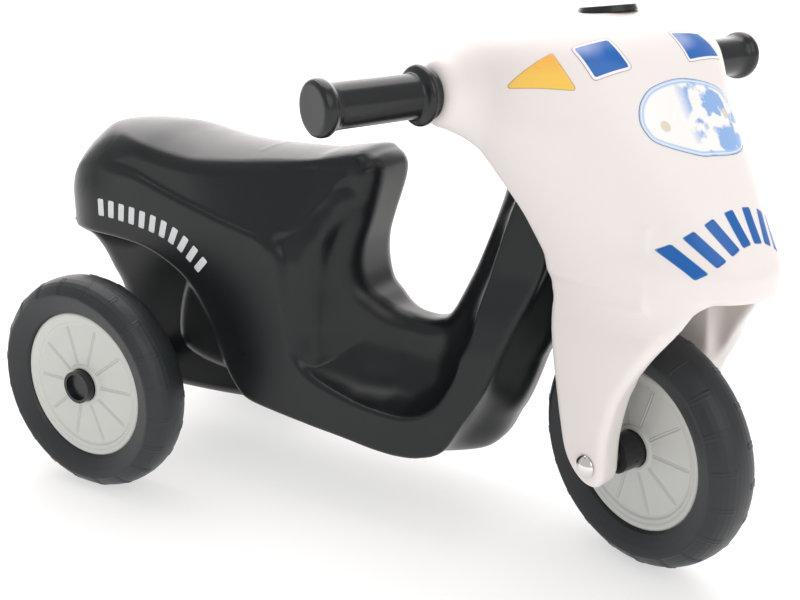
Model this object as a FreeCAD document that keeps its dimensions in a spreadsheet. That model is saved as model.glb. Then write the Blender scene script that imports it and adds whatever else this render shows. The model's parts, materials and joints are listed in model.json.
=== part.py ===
"""Three-wheel ride-on toy scooter: a blow-moulded body on two rear wheels, and a steered
front shield and fork with a handlebar and one front wheel.

Every piece is drawn in the scooter's own frame with the steering straight ahead: +X forward
from the rear axle, +Y to the rider's left, +Z up from the floor. The fork and all that turns
with it are then turned about the steering axis to the rest pose, and the whole toy is moved so
that the row's origin lies on the floor under the middle of its box.
"""
import FreeCAD, Part
import math
import os
import Sketcher
from FreeCAD import Placement, Rotation, Vector

PARTS = "parts"

# Driving dimensions in millimetres, and angles in degrees.
SIZES = {
    # wheels
    "tyre_radius": 88.0, "shoulder_radius": 83.0, "sidewall_radius": 75.0, "rim_radius": 60.0,
    "crown_half": 8.0, "shoulder_half": 15.5, "tyre_half": 20.5, "bead_half": 12.4,
    "rim_half": 11.9, "rim_wall": 3.0, "rim_step_radius": 54.0, "dish_depth": 2.2,
    "hub_radius": 17.0, "bush_radius": 13.2, "tyre_wall": 4.5,
    "wheelbase": 427.3, "rear_track_half": 119.0, "front_lift": 0.434,
    # axles
    "axle_radius": 5.0, "running_gap": 0.05, "face_gap": 0.3,
    "front_bush_half": 29.7, "rear_bush_inner": 20.2, "rear_axle_half": 134.0,
    "rear_cap_length": 7.0, "rear_cap_wall": 2.6, "rear_cap_depth": 4.0,
    "front_axle_half": 57.0, "front_cap_radius": 8.2, "front_cap_rise": 5.0,
    # rear half of the body: seat, tail and side panels
    "panel_half": 63.0, "wall": 4.0,
    "tail_back": -100.0, "tail_low": 198.0, "tail_turn": -84.0, "tail_top": 284.0,
    "tail_front": 8.0, "seat_back": 62.0, "seat_top": 272.0, "seat_front": 166.0,
    "panel_front": 172.0, "belly_front": 70.0, "belly_back": 74.0, "arch_foot": 106.0,
    "arch_x": -15.0, "arch_z": 88.0, "arch_radius": 105.0, "edge_round": 9.0,
    # pedestal under the front of the seat
    "pedestal_half": 36.0, "pommel_top": 278.0, "pommel_front": 212.0, "pommel_back": 186.0,
    "knee_x": 194.0, "knee_z": 192.0, "pedestal_foot": 206.0, "pedestal_foot_z": 166.0,
    # keel that carries the rear axle
    "keel_half": 45.0, "keel_bottom": 63.0, "keel_back": -30.0, "keel_mid_x": -46.0,
    "keel_mid_z": 155.0, "keel_tail_x": -74.0, "keel_tail_z": 186.0, "keel_front": 112.0,
    # foot rail and the low saddle of the step-through
    "rail_half": 64.0, "rail_bottom": 62.0, "rail_top": 98.0, "rail_front_low": 270.0,
    "rail_front": 312.0, "rail_front_z": 84.0, "saddle_half": 18.0, "saddle_top": 151.0,
    "saddle_front": 300.0,
    # steering head and the neck under it
    "neck_bevel": 11.0, "ridge_half": 8.0,
    "steer_x": 402.87, "steer_z": 88.0, "steer_tilt": 5.0, "rest_turn": -25.0,
    "head_radius": 23.0, "head_low": 134.3, "head_high": 206.0, "head_bore": 11.0,
    "pin_radius": 8.0, "pin_low": 110.0, "pin_high": 297.5, "bush_length": 22.0,
    "washer_thick": 2.0, "washer_radius": 17.0, "boss_radius": 19.0,
    "nut_radius": 12.5, "top_cap_radius": 20.0, "top_cap_height": 4.0,
    "top_cap_low": 295.0,
    # shield and fork
    "throat_back": 290.0, "throat_deep": 392.0, "throat_step": 252.0, "throat_half_low": 52.0,
    "throat_half_high": 62.0, "crown_low": 204.0, "crown_high": 213.0,
    "ceiling_low": 300.0,
    "tunnel_half": 30.0, "tunnel_radius": 97.0, "leg_half": 57.0,
    "lip_nose_x": 520.0, "lip_nose_z": 220.0,
    "arm_inner": 80.0, "arm_outer": 112.0, "arm_root_radius": 25.0, "arm_tip_radius": 20.5,
    # handlebar and grips
    "bar_wall": 1.6, "bar_x": 328.9, "bar_z": 334.4, "bar_radius": 11.0, "bar_half": 190.0,
    "sleeve_start": 112.3, "inner_flange": 118.9, "flange_half": 4.0,
    "inner_flange_radius": 20.1, "grip_radius": 14.7, "outer_flange": 193.0,
    "outer_flange_radius": 18.3, "grip_end": 198.5, "sleeve_radius": 16.5,
}

# Neck of the body, in level sections from the foot rail up: height, rear ridge, inner edge
# of the side strip, front face, and half width.
NECK = {
    "neck_a": (92.0, 258.0, 266.0, 316.0, 62.0),
    "neck_b": (150.0, 262.0, 306.0, 341.0, 55.0),
    "neck_c": (205.0, 292.0, 327.0, 364.0, 44.0),
    "neck_d": (262.0, 313.0, 340.0, 384.0, 38.0),
    "neck_e": (292.0, 328.0, 350.0, 394.0, 28.0),
}
NECK_WORDS = ("height", "ridge", "strip", "front", "half")

# Shield, in level sections from the mudguard lip up: height, rear edge, where the flank meets
# the round nose, nose, half width at the rear edge, and half width where the flank ends.
SHIELD = {
    "shield_a": (204.0, 389.0, 473.0, 513.0, 57.0, 42.0),
    "shield_b": (232.0, 386.0, 478.0, 521.0, 62.0, 45.5),
    "shield_c": (262.0, 373.0, 461.0, 503.0, 71.0, 52.0),
    "shield_d": (290.0, 355.0, 442.0, 483.0, 85.0, 62.5),
    "shield_e": (318.0, 330.0, 422.0, 465.0, 98.0, 72.5),
    "shield_f": (345.0, 318.0, 406.0, 448.0, 101.0, 76.0),
    "shield_g": (366.0, 324.0, 396.0, 430.0, 88.0, 66.0),
    "shield_h": (381.0, 345.0, 386.0, 406.0, 50.0, 37.0),
}
SHIELD_WORDS = ("height", "rear", "side", "nose", "half", "shoulder")

# Rooms inside the shield, in the same words: the throat that the steering head sits in, and
# the closed space above it.
ROOMS = {
    "throat_a": (213.0, 392.0, 473.0, 508.0, 52.0, 38.0),
    "throat_b": (250.0, 380.0, 462.0, 504.0, 62.0, 45.0),
    "throat_c": (300.0, 352.0, 432.0, 471.0, 82.0, 60.0),
    "attic_a": (305.0, 346.0, 430.0, 466.0, 84.0, 61.0),
    "attic_b": (345.0, 324.0, 402.0, 442.0, 95.0, 71.0),
    "attic_c": (373.0, 338.0, 384.0, 412.0, 62.0, 46.0),
}

# Fork leg, seen from the side, from its rear shoulder down round the axle and up the arch.
LEG = {
    "leg_rear_top": (388.0, 228.0), "leg_rear_mid": (391.0, 165.0), "leg_rear_low": (399.0, 106.0),
    "leg_toe_back": (409.0, 76.0), "leg_toe_front": (430.0, 72.0), "leg_front_low": (437.0, 86.0),
    "leg_front_mid": (449.0, 146.0), "leg_arch_low": (470.0, 178.0), "leg_arch_high": (488.0, 200.0),
    "leg_nose": (478.0, 222.0),
}

for table, words in ((NECK, NECK_WORDS), (SHIELD, SHIELD_WORDS), (ROOMS, SHIELD_WORDS)):
    for name, row in table.items():
        SIZES.update({f"{name}_{word}": number for word, number in zip(words, row)})
for name, (along, up) in LEG.items():
    SIZES.update({f"{name}_x": along, f"{name}_z": up})


# ---------------------------------------------------------------- document and helpers
doc = FreeCAD.newDocument("RideOnScooter")
sheet = doc.addObject("Spreadsheet::Sheet", "Sizes")
for row, (alias, number) in enumerate(SIZES.items(), start=1):
    sheet.set(f"A{row}", alias)
    sheet.set(f"B{row}", str(number))
    sheet.setAlias(f"B{row}", alias)
doc.recompute()


def value(formula):
    """Number for a sum of size names and plain numbers, such as 'rim_half - rim_wall'."""
    total, sign = 0.0, 1.0
    for word in formula.split():
        if word in ("+", "-"):
            sign = 1.0 if word == "+" else -1.0
        elif word in SIZES:
            total += sign * SIZES[word]
        else:
            total += sign * float(word)
    return total


def cells(formula):
    """The same sum as an expression on the spreadsheet."""
    return " ".join(f"Sizes.{word}" if word in SIZES else word for word in formula.split())


def bind(thing, **formulas):
    for field, formula in formulas.items():
        thing.setExpression(field, cells(formula))


def new_body(label):
    body = doc.addObject("PartDesign::Body", label)
    body.Label = label
    return body


def new_sketch(body, role, offset="0"):
    """Sketch on one of the body's own origin planes, moved along its normal by the offset."""
    sketch = body.newObject("Sketcher::SketchObject", "Outline")
    plane = [item for item in body.Origin.OriginFeatures if item.Role == role][0]
    sketch.AttachmentSupport = [(plane, "")]
    sketch.MapMode = "FlatFace"
    if offset != "0":
        sketch.setExpression("AttachmentOffset.Base.z", cells(offset))
    return sketch


def pin_point(sketch, line, end, across, up):
    """Fix one end of a line by its two distances from the sketch's origin."""
    for kind, formula in (("DistanceX", across), ("DistanceY", up)):
        rule = sketch.addConstraint(Sketcher.Constraint(kind, -1, 1, line, end, value(formula)))
        sketch.setExpression(f"Constraints[{rule}]", cells(formula))


def polygon(sketch, corners):
    """Closed outline of straight lines through corners given as pairs of formulas."""
    points = [Vector(value(across), value(up), 0) for across, up in corners]
    first = sketch.GeometryCount
    count = len(corners)
    for turn in range(count):
        sketch.addGeometry(Part.LineSegment(points[turn], points[(turn + 1) % count]))
    for turn, (across, up) in enumerate(corners):
        line, following = first + turn, first + (turn + 1) % count
        sketch.addConstraint(Sketcher.Constraint("Coincident", line, 2, following, 1))
        pin_point(sketch, line, 1, across, up)


def circle(sketch, across, up, radius):
    centre = Vector(value(across), value(up), 0)
    ring = sketch.addGeometry(Part.Circle(centre, Vector(0, 0, 1), value(radius)))
    pin_point(sketch, ring, 3, across, up)
    rule = sketch.addConstraint(Sketcher.Constraint("Radius", ring, value(radius)))
    sketch.setExpression(f"Constraints[{rule}]", cells(radius))


def slab(body, kind, half, draw, role="XZ_Plane"):
    """Pad or pocket of equal depth on both sides of one of the body's origin planes."""
    sketch = new_sketch(body, role)
    draw(sketch)
    feature = body.newObject(f"PartDesign::{kind}", kind)
    feature.Profile = sketch
    feature.Midplane = True
    feature.setExpression("Length", f"2 * ({cells(half)})")
    sketch.Visibility = False
    return feature


def turned(label, *outlines):
    """Body turned about its Y axis from outlines of (radius, place along Y) formulas; a second
    outline inside the first leaves a closed hollow."""
    body = new_body(label)
    sketch = new_sketch(body, "XY_Plane")
    for corners in outlines:
        polygon(sketch, corners)
    feature = body.newObject("PartDesign::Revolution", "Turned")
    feature.Profile = sketch
    feature.ReferenceAxis = (sketch, ["V_Axis"])
    feature.Angle = 360.0
    return body


def tube_corners(inner, outer, low, high):
    return [(inner, low), (outer, low), (outer, high), (inner, high)]


def flip(formula):
    """The same sum with its sign changed."""
    words = formula.split()
    swapped = [{"+": "-", "-": "+"}.get(word, word) for word in words]
    return "0 - " + " ".join(swapped)


def rounded(body, radius, chosen):
    """Fillet the edges of the body's present shape that the test picks."""
    doc.recompute()
    edges = [f"Edge{number}" for number, edge in enumerate(body.Shape.Edges, start=1)
             if chosen(edge)]
    last = body.Tip
    feature = body.newObject("PartDesign::Fillet", "Rounded")
    feature.Base = (last, edges)
    bind(feature, Radius=radius)
    return feature


# ---------------------------------------------------------------- frames and places
tilt = math.radians(SIZES["steer_tilt"])
STEER_AXIS = Vector(-math.sin(tilt), 0, math.cos(tilt))
STEER_POINT = Vector(SIZES["steer_x"], 0, SIZES["steer_z"])
FRONT_HUB = Vector(SIZES["wheelbase"], 0, SIZES["tyre_radius"] + SIZES["front_lift"])
REAR_HUB = Vector(0, 0, SIZES["tyre_radius"])
STRAIGHT = Placement()
TO_REST = Placement(Vector(), Rotation(STEER_AXIS, SIZES["rest_turn"]), STEER_POINT)
ALONG_STEER = Placement(STEER_POINT, Rotation(Vector(0, 0, 1), STEER_AXIS))


def moved(point):
    return Placement(point, Rotation())


pieces = {}


def keep(node, thing, place):
    """Register a finished piece under its node name, with its place in the straight scooter."""
    thing.Label = node
    pieces[node] = (thing, place)


# ---------------------------------------------------------------- wheels
def tyre(node, place):
    side = [("rim_radius", "bead_half"), ("sidewall_radius", "tyre_half"),
            ("shoulder_radius", "shoulder_half"), ("tyre_radius", "crown_half")]
    inside = [("rim_radius + tyre_wall", "bead_half - tyre_wall"),
              ("sidewall_radius", "tyre_half - tyre_wall"),
              ("shoulder_radius - tyre_wall", "shoulder_half - tyre_wall"),
              ("tyre_radius - tyre_wall", "crown_half - 2")]
    rings = [half + [(radius, flip(along)) for radius, along in reversed(half)]
             for half in (side, inside)]
    keep(node, turned(node, *rings), place)


def rim_half(node, place, sense):
    """Dished half of a rim, with its hub collar; two of them meet on the wheel's mid plane."""
    def out(formula):
        return formula if sense > 0 else flip(formula)
    corners = [
        ("bush_radius", "0"), ("hub_radius", "0"), ("hub_radius", "rim_half - dish_depth - rim_wall"),
        ("rim_step_radius", "rim_half - rim_wall"), ("rim_radius - rim_wall", "rim_half - rim_wall"),
        ("rim_radius - rim_wall", "0"), ("rim_radius", "0"), ("rim_radius", "rim_half"),
        ("rim_step_radius", "rim_half"), ("hub_radius", "rim_half - dish_depth"),
        ("bush_radius", "rim_half - dish_depth"),
    ]
    keep(node, turned(node, [(radius, out(along)) for radius, along in corners]), place)


def hub_bush(node, place, low, high):
    keep(node, turned(node, tube_corners("axle_radius + running_gap", "bush_radius", low, high)), place)


front_wheel_place = TO_REST * moved(FRONT_HUB)
tyre("front_tyre", front_wheel_place)
rim_half("front_rim_left", front_wheel_place, 1)
rim_half("front_rim_right", front_wheel_place, -1)
hub_bush("front_hub_bush", front_wheel_place, "0 - front_bush_half", "front_bush_half")

for side, sense in (("left", 1), ("right", -1)):
    wheel_place = moved(REAR_HUB + Vector(0, sense * SIZES["rear_track_half"], 0))
    inward, outward = "0 - rear_bush_inner", "rim_half"
    if sense < 0:
        inward, outward = flip(outward), "rear_bush_inner"
    tyre(f"rear_tyre_{side}", wheel_place)
    rim_half(f"rear_rim_outer_{side}", wheel_place, sense)
    rim_half(f"rear_rim_inner_{side}", wheel_place, -sense)
    hub_bush(f"rear_hub_bush_{side}", wheel_place, inward, outward)


# ---------------------------------------------------------------- axles, spacers and caps
def axle(node, half, place):
    low, high = f"0 - {half}", half
    keep(node, turned(node, [("0", low), ("axle_radius", low), ("axle_radius", high), ("0", high)]),
         place)


axle("rear_axle", "rear_axle_half", moved(REAR_HUB))
axle("front_axle", "front_axle_half", front_wheel_place)


def rear_spacer(node, sense):
    """Sleeve on the axle between the keel and the wheel's hub bush."""
    low, high = "keel_half", "rear_track_half - rear_bush_inner - face_gap"
    if sense < 0:
        low, high = flip(high), flip(low)
    keep(node, turned(node, tube_corners("axle_radius", "bush_radius - 2", low, high)), moved(REAR_HUB))


def rear_cap(node, sense):
    """Cup-shaped cap on the end of the rear axle."""
    start = "rear_track_half + rim_half + face_gap"
    corners = [
        ("axle_radius", start), ("bush_radius", start), ("bush_radius", start + " + rear_cap_length"),
        ("bush_radius - rear_cap_wall", start + " + rear_cap_length"),
        ("bush_radius - rear_cap_wall - 1", start + " + rear_cap_length - rear_cap_depth"),
        ("0", start + " + rear_cap_length - rear_cap_depth"), ("0", "rear_axle_half"),
        ("axle_radius", "rear_axle_half"),
    ]
    if sense < 0:
        corners = [(radius, flip(along)) for radius, along in corners]
    keep(node, turned(node, corners), moved(REAR_HUB))


def dome_cap(node, sense):
    """Domed push-on cap on the end of the front axle: a short cylinder under a ball segment."""
    rise, radius = SIZES["front_cap_rise"], SIZES["front_cap_radius"]
    ball = doc.addObject("Part::Sphere", node + "_ball")
    ball_radius = (radius ** 2 + rise ** 2) / (2 * rise)
    ball.setExpression("Radius", "(Sizes.front_cap_radius ^ 2 + Sizes.front_cap_rise ^ 2)"
                                 " / (2 * Sizes.front_cap_rise)")
    ball.Placement = moved(Vector(0, sense * (SIZES["leg_half"] + rise - ball_radius), 0))
    rim = doc.addObject("Part::Cylinder", node + "_rim")
    bind(rim, Radius="front_cap_radius", Height="front_cap_rise")
    rim.Placement = Placement(Vector(0, sense * SIZES["leg_half"], 0),
                              Rotation(Vector(0, 0, 1), Vector(0, sense, 0)))
    cap = doc.addObject("Part::Common", node)
    cap.Base, cap.Tool = ball, rim
    keep(node, cap, front_wheel_place)


for side, sense in (("left", 1), ("right", -1)):
    rear_spacer(f"rear_spacer_{side}", sense)
    rear_cap(f"rear_axle_cap_{side}", sense)
    dome_cap(f"front_axle_cap_{side}", sense)


# ---------------------------------------------------------------- body shell
def body_shell():
    body = new_body("body_shell")
    panel = [
        ("tail_back", "tail_low"), ("tail_back", "seat_top - 14"), ("tail_turn", "tail_top"),
        ("tail_front", "tail_top"), ("seat_back", "seat_top"), ("seat_front", "seat_top"),
        ("panel_front", "seat_top - 16"), ("panel_front", "belly_front"), ("arch_foot", "belly_back"),
    ]
    slab(body, "Pad", "panel_half", lambda sketch: polygon(sketch, panel))
    slab(body, "Pocket", "panel_half + 1", lambda sketch: circle(sketch, "arch_x", "arch_z", "arch_radius"))

    def top_edge(edge):
        box = edge.BoundBox
        along_side = abs(abs(edge.CenterOfMass.y) - SIZES["panel_half"]) < 0.5
        return along_side and box.ZMin > SIZES["seat_top"] - 30 and box.YLength < 0.1
    rounded(body, "edge_round", top_edge)

    pedestal = [
        ("panel_front - 20", "belly_front"), ("panel_front - 20", "seat_top - 4"),
        ("pommel_back", "pommel_top"), ("pommel_front", "pommel_top - 6"),
        ("pommel_front", "pommel_top - 22"), ("knee_x", "knee_z"),
        ("pedestal_foot", "pedestal_foot_z"), ("pedestal_foot + 10", "belly_front"),
    ]
    slab(body, "Pad", "pedestal_half", lambda sketch: polygon(sketch, pedestal))
    slab(body, "Pad", "saddle_half", lambda sketch: polygon(sketch, [
        ("pedestal_foot - 10", "belly_front"), ("pedestal_foot - 10", "pedestal_foot_z"),
        ("pedestal_foot + 20", "saddle_top + 3"), ("saddle_front - 20", "saddle_top"),
        ("saddle_front", "saddle_top"), ("saddle_front", "belly_front")]))
    keel = [
        ("keel_back", "keel_bottom"), ("keel_mid_x", "keel_mid_z"), ("keel_tail_x", "keel_tail_z"),
        ("keel_tail_x + 4", "tail_low + 8"), ("keel_front", "tail_low + 8"), ("keel_front", "belly_back"),
        ("keel_front - 14", "keel_bottom"),
    ]
    slab(body, "Pad", "keel_half", lambda sketch: polygon(sketch, keel))
    rail = [
        ("arch_foot", "belly_back"), ("panel_front", "belly_front"), ("rail_front_low - 40", "rail_bottom"),
        ("rail_front_low", "rail_bottom"), ("rail_front", "rail_front_z"),
        ("rail_front - 4", "rail_top"), ("panel_front", "rail_top + 8"),
        ("panel_front - 20", "rail_top + 20"),
    ]
    slab(body, "Pad", "rail_half", lambda sketch: polygon(sketch, rail))
    neck_loft(body, "AdditiveLoft", "0")

    hollow(body)
    steer_rod(body, "AdditiveCylinder", "head_radius", "head_low", "head_high - head_low")
    for radius, low, length in (("head_radius + 60", "head_high", "head_radius"),
                                ("head_radius + 6", "head_low - 40", "40"),
                                ("head_bore", "head_low - 10", "head_high - head_low + 20")):
        steer_rod(body, "SubtractiveCylinder", radius, low, length)
    slab(body, "Pocket", "keel_half + 1", lambda sketch: circle(sketch, "0", "tyre_radius", "axle_radius"))
    keep("body_shell", body, STRAIGHT)


def steer_rod(body, kind, radius, low, length):
    """Cylinder about the steering axis, added to a body or taken from it."""
    rod = body.newObject(f"PartDesign::{kind}", "SteerRod")
    bind(rod, Radius=radius, Height=length)
    rod.Placement = ALONG_STEER * moved(Vector(0, 0, value(low)))


def neck_loft(body, kind, inset):
    """Neck, as flat-sided sections that lean forward and narrow towards the steering head."""
    sections = []
    for name in NECK:
        sketch = new_sketch(body, "XY_Plane", f"{name}_height")
        half, ridge = f"{name}_half - {inset}", "ridge_half" if inset == "0" else "ridge_half - 3"
        back, strip, front = f"{name}_ridge + {inset}", f"{name}_strip + {inset}", f"{name}_front - {inset}"
        right = [(back, ridge), (strip, half), (f"{front} - neck_bevel", half),
                 (front, f"{half} - neck_bevel")]
        left = [(across, flip(up)) for across, up in reversed(right)]
        polygon(sketch, right + left)
        sections.append(sketch)
    loft = body.newObject(f"PartDesign::{kind}", "Neck")
    loft.Profile = sections[0]
    loft.Sections = sections[1:]
    loft.Ruled = True


def hollow(body):
    """Empty the body to its wall thickness: rear box, foot rail and neck."""
    room = [
        ("tail_back + wall", "tail_low + 12"), ("tail_back + wall", "seat_top - 18"),
        ("tail_turn + wall", "tail_top - wall"), ("tail_front", "tail_top - wall"),
        ("seat_back", "seat_top - wall"), ("seat_front - 4", "seat_top - wall"),
        ("panel_front - wall", "seat_top - 22"), ("panel_front - wall", "belly_front + 6"),
        ("arch_foot + 22", "belly_back + 4"), ("arch_foot + 4", "arch_z + 60"),
        ("arch_x + 84", "arch_z + 92"), ("arch_x + 50", "tail_low + 4"), ("arch_x", "tail_low + 4"),
    ]
    slab(body, "Pocket", "panel_half - wall - 3", lambda sketch: polygon(sketch, room))
    belly = [
        ("keel_back + 6", "keel_bottom + wall"), ("keel_mid_x + 8", "keel_mid_z"),
        ("keel_tail_x + 12", "keel_tail_z + 2"), ("keel_tail_x + 14", "tail_low + 14"),
        ("panel_front - 30", "tail_low + 14"), ("panel_front - 30", "belly_front + 6"),
        ("keel_front - 18", "keel_bottom + wall"),
    ]
    slab(body, "Pocket", "keel_half - wall", lambda sketch: polygon(sketch, belly))
    floor = [
        ("panel_front - 24", "belly_front + wall"), ("rail_front_low - 40", "rail_bottom + wall"),
        ("rail_front_low - 3", "rail_bottom + wall"), ("rail_front - 7", "rail_front_z"),
        ("rail_front - 9", "rail_top - wall"), ("panel_front - 24", "rail_top + 2"),
    ]
    slab(body, "Pocket", "rail_half - wall", lambda sketch: polygon(sketch, floor))
    pommel = [
        ("panel_front - 26", "rail_top - 8"), ("panel_front - 26", "seat_top - 9"),
        ("pommel_back", "pommel_top - wall - 1"), ("pommel_front - wall", "pommel_top - 10"),
        ("pommel_front - wall - 1", "pommel_top - 20"), ("knee_x - wall", "knee_z"),
        ("pedestal_foot - wall", "pedestal_foot_z - 2"), ("pedestal_foot + 4", "rail_top - 8"),
    ]
    slab(body, "Pocket", "pedestal_half - wall", lambda sketch: polygon(sketch, pommel))
    slab(body, "Pocket", "saddle_half - wall", lambda sketch: polygon(sketch, [
        ("pedestal_foot - 12", "rail_top - 8"), ("pedestal_foot - 12", "pedestal_foot_z - 4"),
        ("pedestal_foot + 20", "saddle_top - wall - 1"), ("saddle_front", "saddle_top - wall - 2"),
        ("saddle_front", "rail_top - 8")]))
    neck_loft(body, "SubtractiveLoft", "wall")


body_shell()


# ---------------------------------------------------------------- steering parts
STEER_LINE = Placement(STEER_POINT, Rotation(Vector(0, 1, 0), STEER_AXIS))


def steer_piece(node, place, corners):
    """Piece turned about the steering axis, from (radius, distance along the axis) formulas."""
    keep(node, turned(node, corners), place * STEER_LINE)


steer_piece("steering_pin", TO_REST, [
    ("0", "pin_low - 5"), ("nut_radius - 1", "pin_low - 5"), ("nut_radius - 1", "pin_low"),
    ("pin_radius", "pin_low"), ("pin_radius", "pin_high"), ("0", "pin_high")])
steer_piece("steering_top_cap", TO_REST, [
    ("pin_radius", "top_cap_low"), ("top_cap_radius", "top_cap_low"),
    ("top_cap_radius - 1.5", "top_cap_low + top_cap_height"), ("0", "top_cap_low + top_cap_height"),
    ("0", "pin_high"), ("pin_radius", "pin_high")])
for node, low, high in (("lower_thrust_washer", "head_low - washer_thick - face_gap", "head_low - face_gap"),
                        ("upper_thrust_washer", "head_high + face_gap",
                         "head_high + face_gap + washer_thick")):
    steer_piece(node, TO_REST, tube_corners("pin_radius", "washer_radius", low, high))
for node, low, high in (("lower_steering_bush", "head_low", "head_low + bush_length"),
                        ("upper_steering_bush", "head_high - bush_length", "head_high")):
    steer_piece(node, STRAIGHT, tube_corners("pin_radius + running_gap", "head_bore", low, high))


# ---------------------------------------------------------------- shield and fork
def d_section(body, name, inset, rear):
    """Level section with a straight back, flanks that close in and a round nose."""
    sketch = new_sketch(body, "XY_Plane", f"{name}_height")
    back, side = f"{name}_rear + {rear}", f"{name}_side - {inset}"
    half, nose = f"{name}_half - {inset}", f"{name}_nose - {inset}"
    shoulder = f"{name}_shoulder - {inset}"
    depth, width = value(nose) - value(side), value(shoulder)
    radius = (depth ** 2 + width ** 2) / (2 * depth)
    opening = math.asin(width / radius) if depth < radius else math.pi - math.asin(width / radius)
    corners = [(side, flip(shoulder)), (back, flip(half)), (back, half), (side, shoulder)]
    points = [Vector(value(across), value(up), 0) for across, up in corners]
    for turn in range(3):
        sketch.addGeometry(Part.LineSegment(points[turn], points[turn + 1]))
    ring = Part.Circle(Vector(value(nose) - radius, 0, 0), Vector(0, 0, 1), radius)
    sketch.addGeometry(Part.ArcOfCircle(ring, -opening, opening))
    for turn in range(2):
        sketch.addConstraint(Sketcher.Constraint("Coincident", turn, 2, turn + 1, 1))
    sketch.addConstraint(Sketcher.Constraint("Coincident", 3, 1, 0, 1))
    sketch.addConstraint(Sketcher.Constraint("Coincident", 3, 2, 2, 2))
    ends = ((0, 1), (1, 1), (2, 1), (2, 2))
    for (line, end), (across, up) in zip(ends, corners):
        pin_point(sketch, line, end, across, up)
    rule = sketch.addConstraint(Sketcher.Constraint("Radius", 3, radius))
    deep, wide = f"({cells(nose)} - ({cells(side)}))", f"({cells(shoulder)})"
    sketch.setExpression(f"Constraints[{rule}]", f"({deep} ^ 2 + {wide} ^ 2) / (2 * {deep})")
    return sketch


def shield_loft(body, kind, names, inset="0", rear="0"):
    sections = [d_section(body, name, inset, rear) for name in names]
    loft = body.newObject(f"PartDesign::{kind}", "Shield")
    loft.Profile = sections[0]
    loft.Sections = sections[1:]
    loft.Ruled = False


def shield_fork():
    body = new_body("front_shield_fork")
    shield_loft(body, "AdditiveLoft", list(SHIELD))
    leg = [(f"{name}_x", f"{name}_z") for name in LEG]
    slab(body, "Pad", "leg_half", lambda sketch: polygon(sketch, leg))
    for sense in (1, -1):
        arm = body.newObject("PartDesign::AdditiveCone", "Arm")
        bind(arm, Radius1="arm_root_radius", Radius2="arm_tip_radius", Height="arm_outer - arm_inner")
        arm.Placement = Placement(Vector(SIZES["bar_x"], sense * SIZES["arm_inner"], SIZES["bar_z"]),
                                  Rotation(Vector(0, 0, 1), Vector(0, sense, 0)))

    tunnel = [
        ("leg_rear_mid_x - 30", "crown_low"), ("leg_rear_mid_x - 30", "0"),
        ("wheelbase + tunnel_radius", "0"), ("wheelbase + tunnel_radius + 10", "crown_low - 16"),
        ("lip_nose_x - 14", "lip_nose_z + 8"), ("lip_nose_x - 30", "lip_nose_z + 8"),
        ("lip_nose_x - 50", "crown_low"),
    ]
    slab(body, "Pocket", "tunnel_half", lambda sketch: polygon(sketch, tunnel))
    lip = [("leg_arch_low_x", "leg_arch_low_z"), ("leg_arch_high_x", "leg_arch_high_z"),
           ("lip_nose_x", "lip_nose_z"), ("lip_nose_x + 40", "lip_nose_z"),
           ("lip_nose_x + 40", "leg_arch_low_z")]
    slab(body, "Pocket", "arm_outer", lambda sketch: polygon(sketch, lip))
    shield_loft(body, "SubtractiveLoft", ("throat_a", "throat_b", "throat_c"))
    shield_loft(body, "SubtractiveLoft", ("attic_a", "attic_b", "attic_c"))
    for half, low in (("throat_half_low", "crown_high"), ("throat_half_high", "throat_step")):
        slab(body, "Pocket", half, lambda sketch: polygon(sketch, [
            ("throat_back", low), ("throat_deep", low), ("throat_deep", "ceiling_low"),
            ("throat_back", "ceiling_low")]))
    for low, length in (("head_low - washer_thick - face_gap - 14", "14"),
                        ("head_high + washer_thick + face_gap", "12")):
        steer_rod(body, "AdditiveCylinder", "boss_radius", low, length)
    steer_rod(body, "SubtractiveCylinder", "pin_radius", "pin_low", "top_cap_low - pin_low + 10")
    steer_rod(body, "SubtractiveCylinder", "top_cap_radius + 1", "top_cap_low", "30")
    slab(body, "Pocket", "arm_outer + 5", lambda sketch: circle(sketch, "bar_x", "bar_z", "bar_radius"))
    slab(body, "Pocket", "leg_half + 1", lambda sketch: circle(
        sketch, "wheelbase", "tyre_radius + front_lift", "axle_radius"))
    keep("front_shield_fork", body, TO_REST)


shield_fork()


# ---------------------------------------------------------------- handlebar and grips
BAR_PLACE = TO_REST * moved(Vector(SIZES["bar_x"], 0, SIZES["bar_z"]))
keep("handlebar_tube", turned("handlebar_tube", tube_corners(
    "bar_radius - bar_wall", "bar_radius", "0 - bar_half", "bar_half")), BAR_PLACE)
for side, sense in (("left", 1), ("right", -1)):
    corners = [
        ("bar_radius", "sleeve_start"), ("sleeve_radius", "sleeve_start"),
        ("sleeve_radius", "inner_flange - flange_half"),
        ("inner_flange_radius", "inner_flange - flange_half"),
        ("inner_flange_radius", "inner_flange + flange_half"),
        ("grip_radius", "inner_flange + flange_half"),
        ("grip_radius", "outer_flange - flange_half"),
        ("outer_flange_radius", "outer_flange - flange_half"),
        ("outer_flange_radius", "grip_end - 2"), ("outer_flange_radius - 2", "grip_end"),
        ("0", "grip_end"), ("0", "bar_half"), ("bar_radius", "bar_half"),
    ]
    if sense < 0:
        corners = [(radius, flip(along)) for radius, along in corners]
    keep(f"grip_{side}", turned(f"grip_{side}", corners), BAR_PLACE)


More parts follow.
